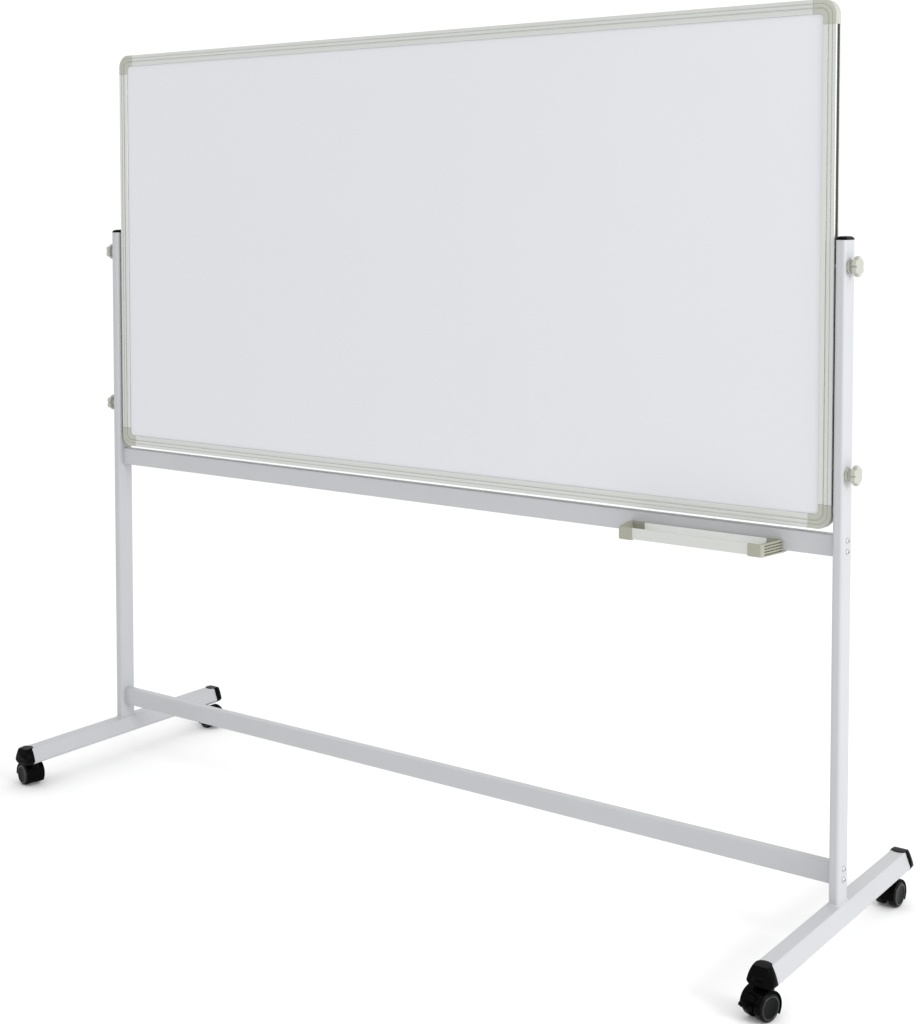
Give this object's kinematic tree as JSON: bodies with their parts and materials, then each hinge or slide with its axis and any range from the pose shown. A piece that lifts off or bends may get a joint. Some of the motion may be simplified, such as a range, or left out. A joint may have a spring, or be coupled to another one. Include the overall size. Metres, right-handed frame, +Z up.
{
  "type": "rolling whiteboard",
  "caption": "Double-sided whiteboard that flips about a level axis between two uprights on a wheeled stand, with clamp knobs and a small sliding pen tray.",
  "frame": {"origin": "on the floor, under the middle of the board and on the board's flip axis seen from above", "axes": "+X along the board, to the right as seen from the side with the pen tray; +Y from that side to the back; +Z up"},
  "size_m": [1.981, 0.6686, 1.725],
  "materials": {
    "painted_steel": "light grey powder coat",
    "anodised_aluminium": "satin anodised",
    "grey_plastic": "fine matt grain",
    "black_plastic": "satin",
    "wheel_plastic": "satin",
    "zinc_steel": "zinc plated",
    "white_enamel": "glossy baked enamel",
    "fibreboard": "raw"
  },
  "bodies": {
    "stand": {"leg_left": "painted_steel", "upright_cap_left": "black_plastic", "foot_cap_front_left": "black_plastic", "foot_cap_rear_left": "black_plastic", "leg_right": "painted_steel", "upright_cap_right": "black_plastic", "foot_cap_front_right": "black_plastic", "foot_cap_rear_right": "black_plastic", "crossbar_upper": "painted_steel", "crossbar_bolt_upper_left_1": "zinc_steel", "crossbar_bolt_upper_left_2": "zinc_steel", "crossbar_bolt_upper_right_1": "zinc_steel", "crossbar_bolt_upper_right_2": "zinc_steel", "crossbar_lower": "painted_steel", "crossbar_bolt_lower_left_1": "zinc_steel", "crossbar_bolt_lower_left_2": "zinc_steel", "crossbar_bolt_lower_right_1": "zinc_steel", "crossbar_bolt_lower_right_2": "zinc_steel", "caster_stem_front_left": "zinc_steel", "caster_stem_front_right": "zinc_steel", "caster_stem_rear_left": "zinc_steel", "caster_stem_rear_right": "zinc_steel"},
    "board": {"board_core": "fibreboard", "writing_sheet_front": "white_enamel", "writing_sheet_back": "white_enamel", "frame_profile_left": "anodised_aluminium", "frame_profile_right": "anodised_aluminium", "frame_profile_top": "anodised_aluminium", "frame_profile_bottom": "anodised_aluminium", "corner_cover_top_left": "grey_plastic", "corner_cover_top_right": "grey_plastic", "corner_cover_bottom_left": "grey_plastic", "corner_cover_bottom_right": "grey_plastic"},
    "pivot_knob_left": {"pivot_knob_left": "grey_plastic"},
    "lock_stud_left": {"lock_stud_left": "zinc_steel"},
    "lock_knob_left": {"lock_knob_left": "grey_plastic"},
    "pivot_knob_right": {"pivot_knob_right": "grey_plastic"},
    "lock_stud_right": {"lock_stud_right": "zinc_steel"},
    "lock_knob_right": {"lock_knob_right": "grey_plastic"},
    "tray": {"tray_channel": "anodised_aluminium", "tray_end_cap_left": "grey_plastic", "tray_end_cap_right": "grey_plastic"},
    "caster_front_left": {"caster_housing_front_left": "black_plastic", "caster_axle_front_left": "zinc_steel"},
    "wheel_front_left_a": {"caster_wheel_front_left_a": "wheel_plastic"},
    "wheel_front_left_b": {"caster_wheel_front_left_b": "wheel_plastic"},
    "brake_lever_left": {"brake_lever_front_left": "black_plastic"},
    "caster_front_right": {"caster_housing_front_right": "black_plastic", "caster_axle_front_right": "zinc_steel"},
    "wheel_front_right_a": {"caster_wheel_front_right_a": "wheel_plastic"},
    "wheel_front_right_b": {"caster_wheel_front_right_b": "wheel_plastic"},
    "brake_lever_right": {"brake_lever_front_right": "black_plastic"},
    "caster_rear_left": {"caster_housing_rear_left": "black_plastic", "caster_axle_rear_left": "zinc_steel"},
    "wheel_rear_left_a": {"caster_wheel_rear_left_a": "wheel_plastic"},
    "wheel_rear_left_b": {"caster_wheel_rear_left_b": "wheel_plastic"},
    "caster_rear_right": {"caster_housing_rear_right": "black_plastic", "caster_axle_rear_right": "zinc_steel"},
    "wheel_rear_right_a": {"caster_wheel_rear_right_a": "wheel_plastic"},
    "wheel_rear_right_b": {"caster_wheel_rear_right_b": "wheel_plastic"}
  },
  "joints": [
    {"name": "board_flip", "type": "hinge", "parent": "stand", "child": "board", "pos_m": [0, 0, 1.25], "axis": [1, 0, 0], "continuous": true},
    {"name": "pivot_knob_turn_left", "type": "hinge", "parent": "board", "child": "pivot_knob_left", "pos_m": [-0.9503, 0, 1.25], "axis": [-1, 0, 0], "range_deg": [0, 360]},
    {"name": "lock_travel_left", "type": "slide", "parent": "stand", "child": "lock_stud_left", "axis": [-1, 0, 0], "range_m": [0, 0.005]},
    {"name": "lock_turn_left", "type": "hinge", "parent": "lock_stud_left", "child": "lock_knob_left", "pos_m": [-0.9503, 0, 0.877], "axis": [-1, 0, 0], "range_deg": [0, 1441]},
    {"name": "pivot_knob_turn_right", "type": "hinge", "parent": "board", "child": "pivot_knob_right", "pos_m": [0.9503, 0, 1.25], "axis": [1, 0, 0], "range_deg": [0, 360]},
    {"name": "lock_travel_right", "type": "slide", "parent": "stand", "child": "lock_stud_right", "axis": [1, 0, 0], "range_m": [0, 0.005]},
    {"name": "lock_turn_right", "type": "hinge", "parent": "lock_stud_right", "child": "lock_knob_right", "pos_m": [0.9503, 0, 0.877], "axis": [1, 0, 0], "range_deg": [0, 1441]},
    {"name": "tray_slide", "type": "slide", "parent": "stand", "child": "tray", "axis": [1, 0, 0], "range_m": [-1.437, 0.097]},
    {"name": "caster_swivel_front_left", "type": "hinge", "parent": "stand", "child": "caster_front_left", "pos_m": [-0.94, -0.281, 0.05], "axis": [0, 0, 1], "continuous": true},
    {"name": "wheel_roll_front_left_a", "type": "hinge", "parent": "caster_front_left", "child": "wheel_front_left_a", "pos_m": [-0.96249, -0.29191, 0.025], "axis": [-0.1908, -0.9816, 0], "continuous": true},
    {"name": "wheel_roll_front_left_b", "type": "hinge", "parent": "caster_front_left", "child": "wheel_front_left_b", "pos_m": [-0.95677, -0.26246, 0.025], "axis": [-0.1908, -0.9816, 0], "continuous": true},
    {"name": "brake_press_left", "type": "hinge", "parent": "caster_front_left", "child": "brake_lever_left", "pos_m": [-0.98069, -0.27309, 0.043], "axis": [-0.1908, -0.9816, 0], "range_deg": [0, 8]},
    {"name": "caster_swivel_front_right", "type": "hinge", "parent": "stand", "child": "caster_front_right", "pos_m": [0.94, -0.281, 0.05], "axis": [0, 0, 1], "continuous": true},
    {"name": "wheel_roll_front_right_a", "type": "hinge", "parent": "caster_front_right", "child": "wheel_front_right_a", "pos_m": [0.9485, -0.30451, 0.025], "axis": [0.9563, -0.2924, 0], "continuous": true},
    {"name": "wheel_roll_front_right_b", "type": "hinge", "parent": "caster_front_right", "child": "wheel_front_right_b", "pos_m": [0.91981, -0.29574, 0.025], "axis": [0.9563, -0.2924, 0], "continuous": true},
    {"name": "brake_press_right", "type": "hinge", "parent": "caster_front_right", "child": "brake_lever_right", "pos_m": [0.92788, -0.32064, 0.043], "axis": [0.9563, -0.2924, 0], "range_deg": [0, 8]},
    {"name": "caster_swivel_rear_left", "type": "hinge", "parent": "stand", "child": "caster_rear_left", "pos_m": [-0.94, 0.281, 0.05], "axis": [0, 0, 1], "continuous": true},
    {"name": "wheel_roll_rear_left_a", "type": "hinge", "parent": "caster_rear_left", "child": "wheel_rear_left_a", "pos_m": [-0.92, 0.296, 0.025], "axis": [0, 1, 0], "continuous": true},
    {"name": "wheel_roll_rear_left_b", "type": "hinge", "parent": "caster_rear_left", "child": "wheel_rear_left_b", "pos_m": [-0.92, 0.266, 0.025], "axis": [0, 1, 0], "continuous": true},
    {"name": "caster_swivel_rear_right", "type": "hinge", "parent": "stand", "child": "caster_rear_right", "pos_m": [0.94, 0.281, 0.05], "axis": [0, 0, 1], "continuous": true},
    {"name": "wheel_roll_rear_right_a", "type": "hinge", "parent": "caster_rear_right", "child": "wheel_rear_right_a", "pos_m": [0.9532, 0.25977, 0.025], "axis": [0.9962, -0.0872, 0], "continuous": true},
    {"name": "wheel_roll_rear_right_b", "type": "hinge", "parent": "caster_rear_right", "child": "wheel_rear_right_b", "pos_m": [0.92331, 0.26238, 0.025], "axis": [0.9962, -0.0872, 0], "continuous": true}
  ],
  "couplings": [
    {"joint": "lock_turn_left", "follows": "lock_travel_left", "rad_per_m": 5026.5},
    {"joint": "lock_turn_right", "follows": "lock_travel_right", "rad_per_m": 5026.5}
  ]
}
